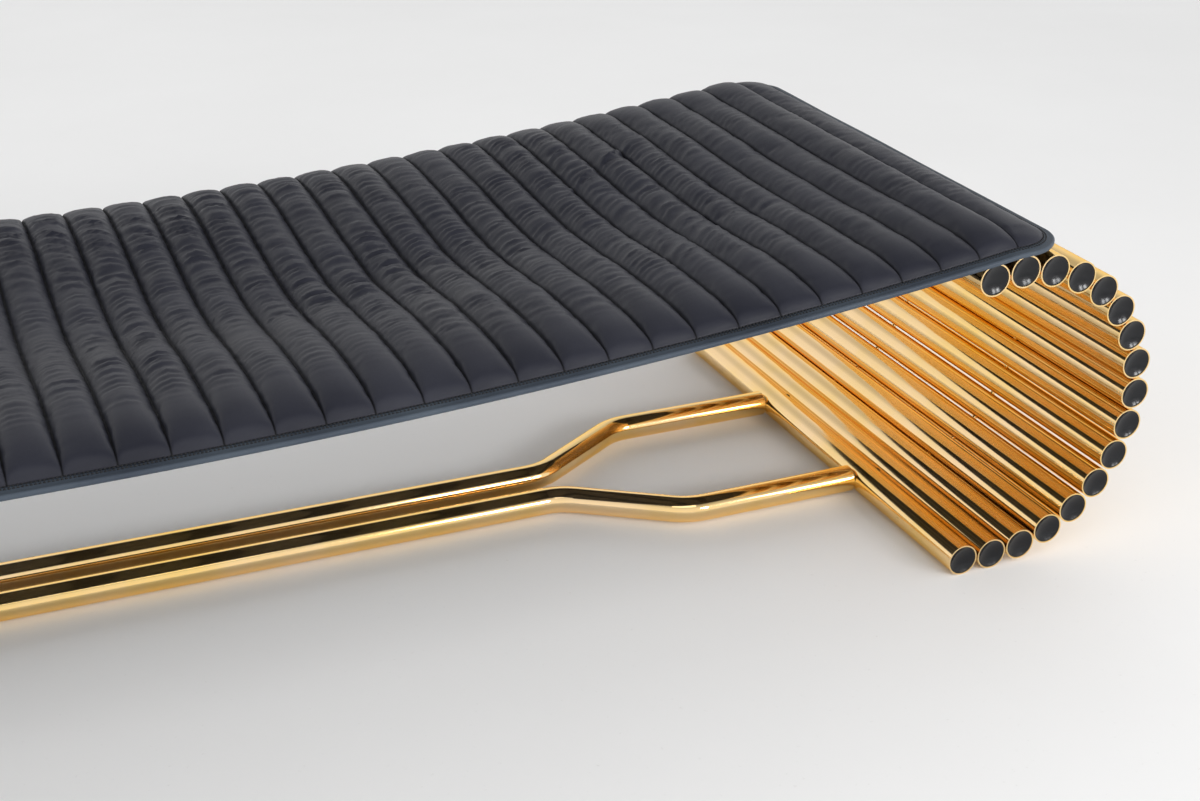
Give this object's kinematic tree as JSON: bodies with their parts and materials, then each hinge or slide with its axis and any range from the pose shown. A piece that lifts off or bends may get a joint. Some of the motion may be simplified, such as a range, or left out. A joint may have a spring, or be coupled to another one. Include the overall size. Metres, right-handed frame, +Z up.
{
  "type": "chaise longue",
  "caption": "Backless chaise longue: open rolls of polished brass tubes at both ends, forked floor rails between them, and a sagging channelled leather pad on hidden seat rails.",
  "frame": {"origin": "on the floor under the middle of the seat", "axes": "X along the seat from roll to roll, Y across it, Z up"},
  "size_m": [2.4268, 0.663, 0.3904],
  "materials": {
    "polished_brass": "mirror polished and lacquered",
    "tube_cap": "dark charcoal gloss",
    "plain_steel": "zinc plated",
    "black_steel": "satin black paint",
    "webbing": "black elastic webbing",
    "pad_leather": "dark blue-grey leather with a soft sheen",
    "pad_backing": "dark blue-grey leather, flat sewn border",
    "pad_edge": "folded leather edge, slightly bluer and smoother"
  },
  "bodies": {
    "root": {"right_tube_01": "polished_brass", "right_tube_02": "polished_brass", "right_tube_03": "polished_brass", "right_tube_04": "polished_brass", "right_tube_05": "polished_brass", "right_tube_06": "polished_brass", "right_tube_07": "polished_brass", "right_tube_08": "polished_brass", "right_tube_09": "polished_brass", "right_tube_10": "polished_brass", "right_tube_11": "polished_brass", "right_tube_12": "polished_brass", "right_tube_13": "polished_brass", "right_tube_14": "polished_brass", "right_tube_15": "polished_brass", "right_tube_16": "polished_brass", "right_tube_17": "polished_brass", "left_tube_01": "polished_brass", "left_tube_02": "polished_brass", "left_tube_03": "polished_brass", "left_tube_04": "polished_brass", "left_tube_05": "polished_brass", "left_tube_06": "polished_brass", "left_tube_07": "polished_brass", "left_tube_08": "polished_brass", "left_tube_09": "polished_brass", "left_tube_10": "polished_brass", "left_tube_11": "polished_brass", "left_tube_12": "polished_brass", "left_tube_13": "polished_brass", "left_tube_14": "polished_brass", "left_tube_15": "polished_brass", "left_tube_16": "polished_brass", "left_tube_17": "polished_brass", "right_front_caps": "tube_cap", "right_rear_caps": "tube_cap", "left_front_caps": "tube_cap", "left_rear_caps": "tube_cap", "right_tube_tacks": "polished_brass", "left_tube_tacks": "polished_brass", "vent_plugs": "polished_brass", "floor_rail_front": "polished_brass", "floor_rail_rear": "polished_brass", "floor_rail_plugs": "plain_steel", "floor_rail_bolts": "plain_steel", "seat_rail_front": "black_steel", "seat_rail_rear": "black_steel", "seat_rail_plugs": "plain_steel", "seat_rail_bolts": "plain_steel", "seat_straps": "webbing", "pad_base": "pad_backing", "pad_channels": "pad_leather", "pad_binding": "pad_edge"}
  },
  "joints": []
}
